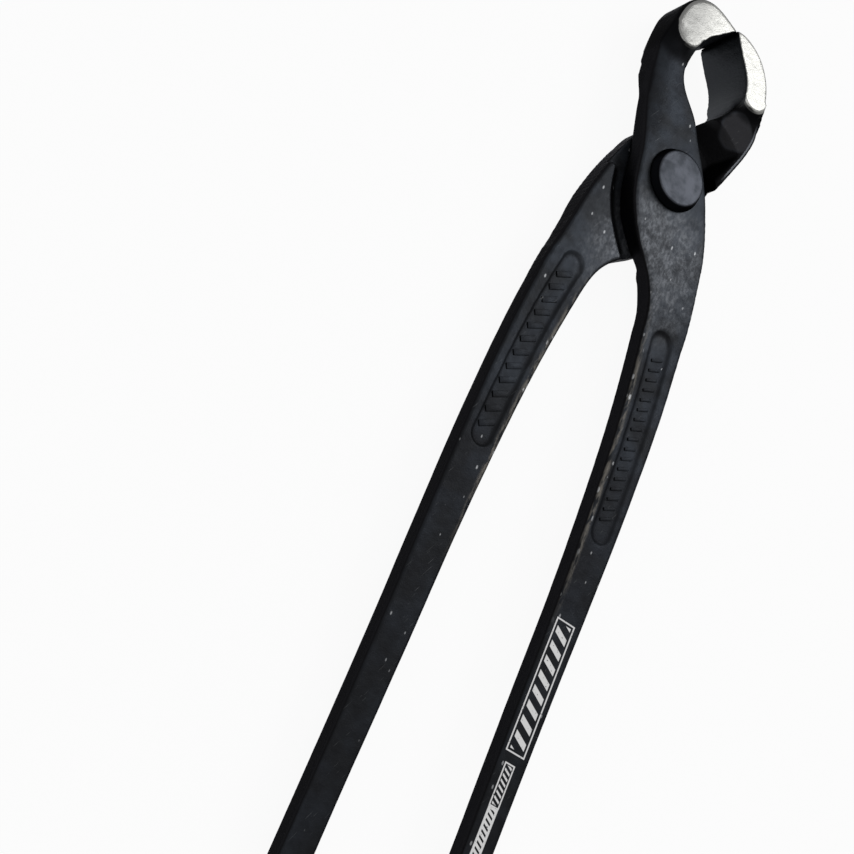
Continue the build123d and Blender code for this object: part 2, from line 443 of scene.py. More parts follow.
@dataclass(frozen=True)
class WhitePrint:
    """Plain white pattern printed on the front of one handle: bars in a frame and a ruled band."""

    frame: PrintField = PrintField((16.4, 21.9), (-146.3, -113.4))
    ticks: PrintField = PrintField((17.5, 20.4), (-158.9, -148.6))
    band: PrintField = PrintField((17.55, 20.35), (-178.0, -158.9))
    bar_step: float = 3.7
    bar_share: float = 0.45
    bar_inset: float = 0.9
    tick_step: float = 1.3
    tick_share: float = 0.42
    tick_inset: float = 0.6
    line: float = 0.35
    slant: float = 0.55
    base: tuple[float, float] = (2.6, 2.9)
    worn: Cloud = Cloud(0.5, (0.28, 0.38), 3.0)

    def mask(self, spot: Spot) -> Signal:
        """1 where the print is.

        Args:
            spot: The place on the surface.

        Returns:
            The mask.
        """
        board = spot.board
        slanted = spot.along + self.slant * spot.across
        broad = self.frame.bars(slanted, self.bar_step, self.bar_share)
        bars = self.frame.inside(spot, self.bar_inset) * broad
        fine = self.ticks.bars(slanted, self.tick_step, self.tick_share)
        ticks = self.ticks.inside(spot, self.tick_inset) * fine
        band = self.band.inside(spot) * (1 - self.band.inside(spot, self.tick_inset) * fine)
        lines = board.either(self.frame.outline(spot, self.line), self.ticks.outline(spot, self.line))
        ink = board.either(board.either(bars, ticks), board.either(lines, band))
        return ink * spot.face * spot.height.ramp(*self.base) * self.worn.mask(board, spot.place)


@dataclass(frozen=True)
class GroundSides:
    """Bright ground steel on the sides of both jaws, which stand highest of all faces."""

    height: float
    drop: tuple[float, float] = (0.7, 0.45)
    slopes: tuple[float, float] = (0.76, 0.86)
    bright: tuple[float, ...] = colour(203, 203, 199)
    stain_and_shade: tuple[float, ...] = colour(152, 152, 150)
    grain: Cloud = Cloud(0.5, (0.35, 0.7), 4.0, (2.2, 1.0, 1.0))
    grain_share: float = 0.15
    stain: Cloud = Cloud(4.0, (0.56, 0.72))
    stain_share: float = 0.15
    # painted shade: the outer side is turned toward the darker tone, where less light is reflected
    outer: tuple[float, float] = (-4.0, -15.0)
    side_shade_share: float = 0.85

    def mask(self, spot: Spot) -> Signal:
        """1 on the ground sides."""
        top = self.height / MM
        proud = abs(spot.height).ramp(top - self.drop[0], top - self.drop[1])
        return proud * spot.board.facing().ramp(*self.slopes)

    def steel(self, spot: Spot) -> Signal:
        """The steel's colour, with a fine grain, a few faint stains and painted shade on the outer
        side.
        """
        board = spot.board
        # painted shade on the outer side
        outer = self.side_shade_share * spot.across.ramp(*self.outer)
        stain = self.stain_share * self.stain.mask(board, spot.place)
        grain = self.grain_share * self.grain.mask(board, spot.place)
        return board.mixed(board.either(outer, stain) + grain, self.bright, self.stain_and_shade)


@dataclass(frozen=True)
class LighterPlace:
    """A lighter place below the rivet, with fine grain and blotches."""

    centre: tuple[float, float] = (3.0, -24.0)
    reach: tuple[float, float] = (20.0, 24.0)
    fade: tuple[float, float] = (1.1, 0.35)
    fine: Cloud = Cloud(0.7, (0.38, 0.66), 5.0, (1.0, 0.55, 1.0))
    blotch: Cloud = Cloud(3.0, (0.3, 0.65), 3.0)
    even_share: float = 0.2
    fine_share: float = 0.2
    blotch_share: float = 0.2
    shared_share: float = 0.6

    def mask(self, spot: Spot) -> Signal:
        """How much the face there is lightened."""
        near = spot.off(self.centre, self.reach).ramp(*self.fade)
        fine = self.fine.mask(spot.board, spot.place)
        blotch = self.blotch.mask(spot.board, spot.place)
        grained = (self.fine_share + self.shared_share * blotch) * fine
        return near * (self.even_share + grained + self.blotch_share * blotch)


@dataclass(frozen=True)
class RearNeck:
    """The rear lever's neck, which lies behind the front one: painted shade, with painted highlights
    on a round area and along its outer edge.
    """

    crossing: tuple[float, float] = (18.5, 21.0)
    inner_side: tuple[float, float] = (-0.5, 1.0)
    upper_end: tuple[float, float] = (42.0, 38.0)
    highlight_patch_centre: tuple[float, float] = (12.2, 25.3)
    highlight_patch_reach: tuple[float, float] = (5.6, 5.6)
    highlight_patch_fade: tuple[float, float] = (1.05, 0.8)
    highlight_patch_base: tuple[float, float] = (3.0, 4.0)
    highlight_band: tuple[float, float, float] = (0.35, 0.62, 0.15)
    highlight_stretch: tuple[float, float, float] = (12.0, 29.0, 6.0)
    highlight_base: tuple[float, float] = (2.0, 4.0)

    def mask(self, spot: Spot) -> Signal:
        """1 on the neck, where shade is painted."""
        neck = (spot.across + spot.along).ramp(*self.crossing) * spot.across.ramp(*self.inner_side)
        return neck * spot.along.ramp(*self.upper_end)

    def highlight_patch(self, spot: Spot) -> Signal:
        """1 on the one round area where a highlight is painted."""
        near = spot.off(self.highlight_patch_centre, self.highlight_patch_reach).ramp(*self.highlight_patch_fade)
        return near * spot.height.ramp(*self.highlight_patch_base)

    def rim(self, spot: Spot) -> Signal:
        """1 on the line just inside the outer edge where a highlight is painted."""
        line = spot.board.kept(NECK_HIGHLIGHT).within(*self.highlight_band)
        return line * spot.along.within(*self.highlight_stretch) * spot.height.ramp(*self.highlight_base)


@dataclass(frozen=True)
class JawHollows:
    """The concave flare surfaces below the sides of both jaws, with painted shade, and the walls
    inside the jaws, with painted light.
    """

    flare_centre: tuple[float, float] = (12.65, 38.1)
    flare_reach: float = 9.5
    flare_fade: tuple[float, float] = (1.05, 0.5)
    inner_sides: tuple[float, float] = (11.5, 10.0)
    inner_start: tuple[float, float] = (22.0, 26.0)
    inner_end: tuple[float, float] = (48.5, 47.5)
    inner_front: tuple[float, float] = (6.0, 2.0)
    inner_top: tuple[float, float] = (30.0, 36.0)

    def flare_shade(self, spot: Spot) -> Signal:
        """1 on the flare surfaces, where shade is painted."""
        side = (abs(spot.across) - self.flare_centre[0]) / self.flare_reach
        way = (spot.along - self.flare_centre[1]) / self.flare_reach
        return (side * side + way * way).ramp(*self.flare_fade)

    def lit_inner_walls(self, spot: Spot) -> Signal:
        """1 on the inner walls, where light is painted."""
        inside = abs(spot.across).ramp(*self.inner_sides) * spot.along.ramp(*self.inner_start)
        inside = inside * spot.along.ramp(*self.inner_end)
        front = spot.height.ramp(*self.inner_front)
        top = spot.along.ramp(*self.inner_top)
        return inside * (1 - spot.face) * spot.board.either(front, top)


@dataclass(frozen=True)
class HandleWear:
    """What use has done to the levers: rubbed edges on the handles, nicks, scratches and flecks."""

    stretch: tuple[float, float, float] = (-105.0, -40.0, 30.0)
    rubbed_rim: tuple[float, float] = (0.35, 0.75)
    streaks: Cloud = Cloud(1.0, (0.38, 0.62), 4.0, (1.6, 0.35, 1.0))
    nicked_rim: tuple[float, float] = (0.4, 0.65)
    nicks: Dots = Dots(1.3, 0.3, 0.34, (1.0, 0.45, 1.0))
    nick_share: float = 0.7
    scratch_turn: float = 24.0
    scratches: Cloud = Cloud(1.0, (0.72, 0.8), 1.0, (1 / 0.16, 1 / 5.0, 1 / 4.0))
    scratch_share: float = 0.12
    flecks: Dots = Dots(1.7, 0.17, 0.19, (1.0, 0.5, 1.0))
    fleck_share: float = 0.5

    def rim(self, spot: Spot, fade: tuple[float, float]) -> Signal:
        """A mask along the edges of the handles that face each other."""
        rims = spot.board.either(spot.board.kept(LEFT_RIM), spot.board.kept(RIGHT_RIM))
        return rims.ramp(*fade) * spot.along.within(*self.stretch)

    def rubbed(self, spot: Spot) -> Signal:
        """1 in the rubbed streaks along those edges."""
        return self.rim(spot, self.rubbed_rim) * self.streaks.mask(spot.board, spot.place)

    def bare(self, spot: Spot) -> Signal:
        """Where the steel is bare: nicks on those edges, scratches and flecks on the faces.

        Args:
            spot: The place on the surface.

        Returns:
            1 where all the skin has gone.
        """
        board = spot.board
        nicks = self.rim(spot, self.nicked_rim) * self.nicks.mask(board, spot.place)
        scratches = self.scratches.mask(board, board.turned(spot.place, self.scratch_turn))
        flecks = self.flecks.mask(board, spot.place)
        marks = board.either(self.nick_share * nicks, self.scratch_share * scratches)
        return spot.face * board.either(marks, self.fleck_share * flecks)


@dataclass(frozen=True)
class ForgedBlack:
    """Blue-black skin of the forgings, with painted shade on the walls, and ground bright jaw sides.
    """

    middle: float
    ground: GroundSides
    neck: RearNeck = RearNeck()
    jaws: JawHollows = JawHollows()
    use: HandleWear = HandleWear()
    lighter_place: LighterPlace = LighterPlace()
    face_cool: tuple[float, ...] = colour(58, 62, 68)
    face_warm: tuple[float, ...] = colour(50, 52, 55)
    tint: Cloud = Cloud(9.0, (0.38, 0.62))
    # lighter tone: used below the rivet and for the painted highlight along the rear neck's outer edge
    rubbed: tuple[float, ...] = colour(108, 111, 116)
    # painted shade: the walls get this darker tone than the faces
    wall: tuple[float, ...] = colour(27, 27, 29)
    # painted shade: the deepest dark tone, for the jaw flare surfaces and the rear neck
    deep_shade: tuple[float, ...] = colour(14, 14, 15)
    # painted highlight: tone of the round area on the rear neck
    highlight_patch: tuple[float, ...] = colour(39, 39, 41)
    # painted light: the walls inside the jaws are lighter than other walls, more so toward their lower
    # end
    lit_inner_wall: tuple[float, ...] = colour(52, 54, 57)
    lit_inner_wall_low: tuple[float, ...] = colour(98, 100, 102)
    inner_light_fade: tuple[float, float] = (42.0, 26.0)
    edge: tuple[float, ...] = colour(114, 110, 104)
    edge_share: float = 0.85
    worn: tuple[float, ...] = colour(205, 207, 210)
    ink: tuple[float, ...] = colour(244, 244, 244)
    stains: Cloud = Cloud(2.6, (0.35, 0.8), 4.0)
    stain_share: float = 0.4
    lower_shade_fade: tuple[float, float] = (-28.0, -45.0)
    lower_shade_share: float = 0.22
    lowest_shade_fade: tuple[float, float] = (-60.0, -100.0)
    lowest_shade_share: float = 0.3
    crease_shade_fade: tuple[float, float] = (-0.01, -0.04)
    crease_shade_share: float = 0.8
    flare_shade_share: float = 0.85
    neck_highlight_share: float = 0.8
    roughness: float = 0.46
    ground_polish: float = 0.1
    grain: Grain = Grain(0.35, 3.2, 2.0, 3.0, 0.05 * MM)

    def material(self) -> bpy.types.Material:
        """The finish as a material."""
        board = Board("forged_black")
        spot = Spot.on(board, self.middle)
        ground = self.ground.mask(spot)
        ink = WhitePrint().mask(spot)
        skin = board.mixed(self.use.bare(spot), self.skin(spot), self.worn)
        skin = board.mixed(ground, skin, self.ground.steel(spot))
        return board.finish({
            "Base Color": board.mixed(ink, skin, self.ink),
            "Metallic": (METALLIC + (1 - METALLIC) * ground) * (1 - ink),
            "Roughness": self.roughness - self.ground_polish * ground,
            "Specular IOR Level": SPECULAR_LEVEL,
            "Specular Tint": SPECULAR_TINT,
            "Normal": self.grain.normal(board, spot.place),
        })

    def skin(self, spot: Spot) -> Signal:
        """Mottled scale: painted shade on walls, in hollows and on the flare surfaces, and lighter
        faces.
        """
        board = spot.board
        # painted highlight: one round area on the rear neck keeps a lighter tone inside the painted
        # shade
        highlight_patch = self.neck.highlight_patch(spot)
        flat = board.mixed(highlight_patch, self.flat(spot), self.highlight_patch)
        # painted shade: concave places on the faces are darkened towards the wall tone
        level = 1 - self.crease_shade_share * board.kept(RIDGE).ramp(*self.crease_shade_fade)
        lit = board.either(spot.face * level, highlight_patch)
        # painted shade: the jaw flare surfaces and the rear neck take the deepest dark tone
        flare_shade = self.flare_shade_share * self.jaws.flare_shade(spot)
        deep_shade = board.either(flare_shade, self.neck.mask(spot) * (1 - highlight_patch))
        # painted light on the walls inside the jaws
        inner = board.mixed(spot.along.ramp(*self.inner_light_fade), self.lit_inner_wall, self.lit_inner_wall_low)
        dark = board.mixed(deep_shade, self.wall, self.deep_shade)
        dark = board.mixed(self.jaws.lit_inner_walls(spot), dark, inner)
        # painted shade: off the faces the skin takes the dark wall tones
        skin = board.mixed(lit * (1 - deep_shade), dark, flat)
        # painted highlight: a lighter line just inside the rear neck's outer edge
        return board.mixed(self.neck_highlight_share * self.neck.rim(spot), skin, self.rubbed)

    def flat(self, spot: Spot) -> Signal:
        """The faces: lighter below the rivet, stained, and with painted shade that darkens them down
        the handles.
        """
        board = spot.board
        flat = board.mixed(self.tint.mask(board, spot.place), self.face_cool, self.face_warm)
        flat = board.mixed(self.lighter_place.mask(spot), flat, self.rubbed)
        flat = board.mixed(self.stain_share * self.stains.mask(board, spot.place), flat, self.wall)
        # painted shade: the faces darken towards the wall tone down the handles, where less light
        # falls
        lower = self.lower_shade_share * spot.along.ramp(*self.lower_shade_fade)
        lowest = self.lowest_shade_share * spot.along.ramp(*self.lowest_shade_fade)
        flat = board.mixed(lower + lowest, flat, self.wall)
        return board.mixed(self.edge_share * self.use.rubbed(spot), flat, self.edge)


@dataclass(frozen=True)
class RivetSteel:
    """Smooth grey-blue skin of the rivet, with painted shade on its sides."""

    face: tuple[float, ...] = colour(82, 85, 92)
    face_dark: tuple[float, ...] = colour(58, 61, 66)
    # painted shade: dark tone of the rivet's sides
    rim: tuple[float, ...] = colour(10, 11, 14)
    worn: tuple[float, ...] = colour(175, 178, 186)
    slopes: tuple[float, float] = (0.75, 0.97)
    clouds: Cloud = Cloud(4.0, (0.35, 0.7), 3.0)
    flecks: Dots = Dots(1.3, 0.1, 0.14)
    fleck_share: float = 0.7
    roughness: float = 0.4
    grain: Grain = Grain(0.4, 2.5, 1.0, 2.0, 0.04 * MM)

    def material(self) -> bpy.types.Material:
        """The finish as a material."""
        board = Board("rivet_steel")
        place = board.millimetres()
        face = board.facing().ramp(*self.slopes)
        skin = board.mixed(self.clouds.mask(board, place), self.face, self.face_dark)
        # painted shade: off the face the rivet takes the dark side tone
        skin = board.mixed(face, self.rim, skin)
        flecks = self.flecks.mask(board, place) * face
        return board.finish({
            "Base Color": board.mixed(self.fleck_share * flecks, skin, self.worn),
            "Metallic": METALLIC,
            "Roughness": self.roughness,
            "Specular IOR Level": SPECULAR_LEVEL,
            "Specular Tint": SPECULAR_TINT,
            "Normal": self.grain.normal(board, place),
        })


@dataclass(frozen=True)
class PaleFloor:
    """Plain white studio floor."""

    tone: tuple[float, ...] = (0.92, 0.92, 0.92, 1.0)
    glow: float = 0.93

    def material(self) -> bpy.types.Material:
        """The floor's material: matt white, lifted where it is seen directly or in a reflection."""
        board = Board("pale_floor")
        path = board.node("ShaderNodeLightPath", {}, {})
        seen = board.either(Signal(board, path.outputs["Is Camera Ray"]),
                            board.either(Signal(board, path.outputs["Is Glossy Ray"]),
                                         Signal(board, path.outputs["Is Transmission Ray"])))
        matt = board.node("ShaderNodeBsdfDiffuse", {}, {"Color": self.tone})
        light = board.node("ShaderNodeEmission", {}, {"Color": (1.0, 1.0, 1.0, 1.0), "Strength": 1.0})
        mix = board.node("ShaderNodeMixShader", {}, {
            0: seen * self.glow,
            1: Signal(board, matt.outputs[0]),
            2: Signal(board, light.outputs[0]),
        })
        board.node("ShaderNodeOutputMaterial", {}, {"Surface": Signal(board, mix.outputs[0])})
        return board.material


@dataclass(frozen=True)
class Lamp:
    """One soft area lamp."""

    name: str
    place: tuple[float, float, float]
    aim: tuple[float, float, float]
    size: float
    power: float

    def build(self) -> None:
        """Hang the lamp."""
        light = bpy.data.lights.new(self.name, "AREA")
        light.size = self.size
        light.energy = self.power
        lamp = bpy.data.objects.new(self.name, light)
        bpy.context.scene.collection.objects.link(lamp)
        direction = Vector(self.aim) - Vector(self.place)
        turn = direction.to_track_quat("-Z", "Y").to_matrix().to_4x4()
        lamp.matrix_world = Matrix.Translation(self.place) @ turn


@dataclass(frozen=True)
class Studio:
    """Floor, lamps, sky and camera around the tool."""

    middle: float
    floor_size: float = 8.0
    sky: float = 0.45
    camera_place: tuple[float, float, float] = (-173.73 * MM, -224.95 * MM, 295.54 * MM)
    camera_forward: tuple[float, float, float] = (0.4011, 0.37759, -0.83459)
    camera_roll: float = math.radians(76.05)
    camera_lens: float = 66.92
    camera_sensor: float = 36.0

    def lamps(self) -> list[Lamp]:
        """The lamps: a large one that the faces of the levers mirror, and a weaker one in front."""
        return [
            Lamp("key_lamp", place=(0.47, 0.53, 0.74), aim=(0.0, 0.0, 0.0), size=0.45, power=1.9),
            Lamp("fill_lamp", place=(-0.3, -0.5, 1.1), aim=(0.0, -0.08, 0.0), size=0.6, power=1.5),
        ]

    def build(self) -> None:
        """Set up the whole studio."""
        self.build_floor()
        self.build_sky()
        for lamp in self.lamps():
            lamp.build()
        self.build_camera()

    def build_floor(self) -> None:
        """Lay the floor under the rear rivet head."""
        bpy.ops.object.select_all(action="DESELECT")
        bpy.ops.mesh.primitive_plane_add(size=self.floor_size)
        floor = bpy.context.object
        floor.name = "studio_floor"
        floor.data.materials.append(PaleFloor().material())

    def build_sky(self) -> None:
        """An even pale sky, which is white where it is seen directly."""
        world = bpy.data.worlds.new("studio_sky")
        world.use_nodes = True
        background = world.node_tree.nodes["Background"]
        background.inputs["Color"].default_value = (1.0, 1.0, 1.0, 1.0)
        path = world.node_tree.nodes.new("ShaderNodeLightPath")
        level = world.node_tree.nodes.new("ShaderNodeMapRange")
        level.inputs["To Min"].default_value = self.sky
        world.node_tree.links.new(path.outputs["Is Camera Ray"], level.inputs["Value"])
        world.node_tree.links.new(level.outputs["Result"], background.inputs["Strength"])
        bpy.context.scene.world = world

    def build_camera(self) -> None:
        """Put the camera where the photograph was taken from."""
        data = bpy.data.cameras.new("photo_camera")
        data.lens = self.camera_lens
        data.sensor_width = self.camera_sensor
        camera = bpy.data.objects.new("photo_camera", data)
        bpy.context.scene.collection.objects.link(camera)
        place = Vector(self.camera_place) + Vector((0.0, 0.0, self.middle))
        turn = Vector(self.camera_forward).to_track_quat("-Z", "Y").to_matrix().to_4x4()
        roll = Matrix.Rotation(self.camera_roll, 4, "Z")
        camera.matrix_world = Matrix.Translation(place) @ turn @ roll
        bpy.context.scene.camera = camera


class Points:
    """The points of a piece as rows of numbers, in metres."""

    def __init__(self, piece: bpy.types.Object) -> None:
        """Read the points.

        Args:
            piece: The piece.
        """
        self.mesh = piece.data
        self.rows = self.read(self.mesh.vertices, "co", np.float32, 3)

    def read(self, items: Any, name: str, kind: type, width: int) -> np.ndarray:
        """Read one value of each item.

        Args:
            items: The points or edges.
            name: Name of the value.
            kind: Its kind of number.
            width: How many numbers it has.

        Returns:
            A row for each item.
        """
        values = np.empty(width * len(items), dtype=kind)
        items.foreach_get(name, values)
        return values.reshape(-1, width)

    def write(self) -> None:
        """Put the points back into the mesh."""
        self.mesh.vertices.foreach_set("co", self.rows.ravel())
        self.mesh.update()

    def around(self, values: np.ndarray, pairs: np.ndarray) -> np.ndarray:
        """Average a value over the neighbours of each point.

        Args:
            values: The value at each point.
            pairs: The two points of each edge.

        Returns:
            The mean at each point.
        """
        count = len(self.rows)
        total = np.bincount(pairs[:, 0], values[pairs[:, 1]], count)
        total += np.bincount(pairs[:, 1], values[pairs[:, 0]], count)
        return total / np.maximum(np.bincount(pairs.ravel(), minlength=count), 1)

    def keep(self, name: str, values: np.ndarray) -> None:
        """Keep a value at each point, for the finish to read."""
        attribute = self.mesh.attributes.new(name, "FLOAT", "POINT")
        attribute.data.foreach_set("value", values.astype(np.float32))

    def mark_rims(self, name: str, side: int, width: float, ends: tuple[float, ...],
                  row_height: float) -> None:
        """Keep how near each point is to one of the lever's long edges.

        Args:
            name: Name of the kept value.
            side: 1 for the right edge and -1 for the left one.
            width: Distance from the edge at which the value falls to 0.
            ends: Y of the lower and upper end of the stretch.
            row_height: Height of the rows in which the edge is looked for.
        """
        row = ((self.rows[:, 1] - self.rows[:, 1].min()) / row_height).astype(int)
        edge = np.full(row.max() + 1, -np.inf)
        outward = side * self.rows[:, 0]
        np.maximum.at(edge, row, outward)
        near = np.clip(1 - (edge[row] - outward) / width, 0, 1)
        inside = (self.rows[:, 1] > ends[0]) & (self.rows[:, 1] < ends[1])
        self.keep(name, np.where(inside, near, 0))

    def mark_ridges(self, spacing: float, rounds: int) -> None:
        """Keep how far each point stands out from its surroundings.

        Args:
            spacing: Distance between neighbouring points.
            rounds: How often the values are evened out.
        """
        pairs = self.read(self.mesh.edges, "vertices", np.int32, 2)
        normals = self.read(self.mesh.vertices, "normal", np.float32, 3)
        middle = np.stack([self.around(self.rows[:, axis], pairs) for axis in range(3)], axis=1)
        stand = ((self.rows - middle) * normals).sum(axis=1) / spacing
        for _ in range(rounds):
            stand = self.around(stand, pairs)
        self.keep(RIDGE, stand)


def active(piece: bpy.types.Object) -> None:
    """Make this piece the only one that is selected."""
    bpy.ops.object.select_all(action="DESELECT")
    piece.select_set(True)
    bpy.context.view_layer.objects.active = piece


@dataclass(frozen=True)
class SoftenedCopy:
    """A copy of a solid with the evenly softened edges of a forging."""

    node: str
    body: str
    slot: str
    voxel: float = 0.38 * MM
    smoothing: int = 3
    smoothing_factor: float = 0.5
    ridge_rounds: int = 5
    merge_distance: float = 0.001 * MM

    def build(self, material: bpy.types.Material) -> Points:
        """Make the copy and let it stand for its solid.

        Args:
            material: Its finish.

        Returns:
            The points of the new piece.
        """
        piece = bpy.data.objects.new(self.node + "_skin", frame["nodes"][self.node].data.copy())
        bpy.context.scene.collection.objects.link(piece)
        active(piece)
        self.merge()
        self.apply(piece, "REMESH", {"mode": "VOXEL", "voxel_size": self.voxel, "adaptivity": 0.0})
        self.apply(piece, "SMOOTH", {"factor": self.smoothing_factor, "iterations": self.smoothing})
        bpy.ops.object.shade_smooth()
        piece.data.materials.clear()
        piece.data.materials.append(material)
        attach(piece, self.body)
        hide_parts(self.node)
        log.info("%s: %d faces", piece.name, len(piece.data.polygons))
        points = Points(piece)
        points.mark_ridges(self.voxel, self.ridge_rounds)
        return points

    def merge(self) -> None:
        """Merge the doubled points of the active piece and turn its faces outwards."""
        bpy.ops.object.mode_set(mode="EDIT")
        bpy.ops.mesh.select_all(action="SELECT")
        bpy.ops.mesh.remove_doubles(threshold=self.merge_distance)
        bpy.ops.mesh.normals_make_consistent(inside=False)
        bpy.ops.object.mode_set(mode="OBJECT")

    def apply(self, piece: bpy.types.Object, kind: str, settings: dict[str, Any]) -> None:
        """Add a modifier and apply it.

        Args:
            piece: The piece.
            kind: The modifier's type.
            settings: Its settings.
        """
        modifier = piece.modifiers.new(kind.lower(), kind)
        for key, setting in settings.items():
            setattr(modifier, key, setting)
        bpy.ops.object.modifier_apply(modifier=modifier.name)


def in_mm(*values: float) -> tuple[float, ...]:
    """These lengths, given in millimetres, as metres."""
    return tuple(value * MM for value in values)


@dataclass(frozen=True)
class EdgeShift:
    """A stretch of a lever's outline that is evened out and moved a little.

    The shift fades in and out between the first two and the last two of its ends, and between
    its two heights over the middle plane.
    """

    side: int
    ends: tuple[float, ...]
    outwards: float
    heights: tuple[float, ...] = in_mm(9.0, 8.0)
    depth: float = 5.0 * MM
    evened: float = 6.0 * MM
    row_height: float = 0.5 * MM

    def apply(self, rows: np.ndarray, middle: float) -> None:
        """Move the points near the edge.

        Args:
            rows: The lever's points.
            middle: Height of the tool's middle plane.
        """
        top, full = self.heights
        share = np.clip((top - (rows[:, 2] - middle)) / (top - full), 0, 1)
        along = rows[:, 1]
        outward = self.side * rows[:, 0]
        steps = np.arange(self.ends[0], self.ends[-1], self.row_height)
        wall = share > 0.5
        rows_near = [wall & (abs(along - step) < self.row_height) for step in steps]
        edge = np.array([outward[near].max() for near in rows_near])
        half = int(self.evened / self.row_height / 2)
        count = 2 * half + 1
        padded = np.pad(edge, half, mode="reflect", reflect_type="odd")
        even = np.convolve(padded, np.full(count, 1 / count), "valid")
        inwards = np.interp(along, steps, edge) - outward
        share *= np.clip(1 - inwards / self.depth, 0, 1) * np.interp(along, self.ends, (0, 1, 1, 0))
        rows[:, 0] += self.side * share * np.interp(along, steps, even - edge + self.outwards)


REAR_NECK_TOP = EdgeShift(1, in_mm(18.5, 27.5, 31.5, 37.0), 0.75 * MM, in_mm(8.0, 6.5))
REAR_NECK_WAIST = EdgeShift(1, in_mm(10.0, 13.0, 15.5, 19.0), -0.35 * MM, evened=0.0)
REAR_NECK_CORNER = EdgeShift(1, in_mm(2.0, 5.5, 7.2, 10.5), 0.8 * MM, in_mm(1.5, 0.0), evened=0.0)
REAR_SHOULDER = EdgeShift(-1, in_mm(-28.0, -23.0, 4.0, 9.0), -0.4 * MM)
REAR_HANDLE_TOP = EdgeShift(-1, in_mm(-44.0, -38.0, -34.0, -29.0), 0.4 * MM)

FRONT_JAW_BACK = EdgeShift(-1, in_mm(25.0, 29.0, 42.0, 46.5), 0.9 * MM, in_mm(7.5, -6.5))
FRONT_NECK = EdgeShift(-1, in_mm(17.0, 20.5, 24.0, 28.0), 0.75 * MM, in_mm(5.5, 3.0),
                       evened=4.0 * MM)
FRONT_INNER_SIDE = EdgeShift(-1, in_mm(-38.0, -26.0, -23.0, -15.0), -1.5 * MM, in_mm(4.5, -1.8))
FRONT_INNER_BEND = EdgeShift(-1, in_mm(-29.0, -25.8, -24.0, -21.0), -0.7 * MM, in_mm(4.5, -1.8),
                             evened=0.0)
FRONT_SHOULDER = EdgeShift(1, in_mm(-45.0, -32.0, 2.0, 9.0), 0.45 * MM)


@dataclass(frozen=True)
class Lever:
    """One forged lever with its sharp cutting edge, as the rear one is."""

    copy: SoftenedCopy
    side: int
    middle: float
    shifts: tuple[EdgeShift, ...] = (
        REAR_NECK_TOP, REAR_NECK_WAIST, REAR_NECK_CORNER, REAR_SHOULDER, REAR_HANDLE_TOP)
    edge_length: float = 2.2 * MM
    edge_reach: float = 5.0 * MM
    edge_gap: float = 0.02 * MM
    rim_name: str = RIGHT_RIM
    rim_width: float = 3.0 * MM
    rim_ends: tuple[float, ...] = (-math.inf, -25.0 * MM)
    neck_highlight_width: float = 2.0 * MM
    neck_highlight_ends: tuple[float, ...] = in_mm(6.0, 33.0)
    row_height: float = 0.5 * MM

    def build(self, material: bpy.types.Material) -> Points:
        """Make the lever.

        Args:
            material: Its finish.

        Returns:
            Its points.
        """
        points = self.copy.build(material)
        self.sharpen(points.rows)
        for shift in self.shifts:
            shift.apply(points.rows, self.middle)
        self.shape(points.rows)
        points.write()
        rim = 1 if self.rim_name == RIGHT_RIM else -1
        points.mark_rims(self.rim_name, rim, self.rim_width, self.rim_ends, self.row_height)
        if self.side > 0:
            # mark the rear neck's outer edge for its painted highlight
            points.mark_rims(NECK_HIGHLIGHT, 1, self.neck_highlight_width, self.neck_highlight_ends, self.row_height)
        return points

    def sharpen(self, rows: np.ndarray) -> None:
        """Draw the softened edge of the jaw out to a line again, close to the other jaw.

        Args:
            rows: The lever's points.
        """
        _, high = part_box(self.copy.node)
        near = rows[:, 1] > high.y - self.edge_reach
        inner = rows[:, 0] * self.side
        reach = inner[near].min()
        share = np.clip(1 - (inner - reach) / self.edge_length, 0, 1)
        rows[:, 0] -= self.side * np.where(near, share * (reach - self.edge_gap / 2), 0)

    def shape(self, rows: np.ndarray) -> None:
        """Shape what only this lever has: nothing, on the rear one."""


@dataclass(frozen=True)
class FrontLever(Lever):
    """The front lever, whose neck is rolled off along its outer edge."""

    rim_name: str = LEFT_RIM
    shifts: tuple[EdgeShift, ...] = (
        FRONT_JAW_BACK, FRONT_NECK, FRONT_INNER_SIDE, FRONT_INNER_BEND, FRONT_SHOULDER)
    roll_width: float = 6.5 * MM
    roll_drop: float = 2.6 * MM
    roll_base: float = 1.0 * MM
    roll_ends: tuple[float, ...] = in_mm(2.0, 18.0, 34.0, 39.0)

    def shape(self, rows: np.ndarray) -> None:
        """Roll off the outer edge of the neck.

        Args:
            rows: The lever's points.
        """
        near = (rows[:, 1] > self.roll_ends[0]) & (rows[:, 1] < self.roll_ends[-1])
        steps = np.arange(self.roll_ends[0], self.roll_ends[-1], self.row_height)
        edge = [rows[abs(rows[:, 1] - step) < self.row_height, 0].min() for step in steps]
        inwards = rows[:, 0] - np.interp(rows[:, 1], steps, edge)
        share = np.clip(1 - inwards / self.roll_width, 0, 1) ** 2
        share *= np.interp(rows[:, 1], self.roll_ends, (0, 1, 1, 0))
        height = rows[:, 2] - self.middle - self.roll_base
        share *= np.clip(height / height[near].max(), 0, 1)
        rows[:, 2] -= np.where(near, share * self.roll_drop, 0)


@dataclass(frozen=True)
class Rivet:
    """The rivet, with a slightly domed front head."""

    copy: SoftenedCopy
    dome: float = 0.35 * MM
    dome_depth: float = 2.2 * MM

    def build(self, material: bpy.types.Material) -> None:
        """Make the rivet, with the rim of its front head lowered so that the face is domed.

        Args:
            material: Its finish.
        """
        points = self.copy.build(material)
        rows = points.rows
        _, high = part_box(self.copy.node)
        radius_share = np.hypot(rows[:, 0], rows[:, 1]) / high.x
        height_share = np.clip(1 - (high.z - rows[:, 2]) / self.dome_depth, 0, 1)
        rows[:, 2] -= self.dome * height_share * radius_share ** 2
        points.write()


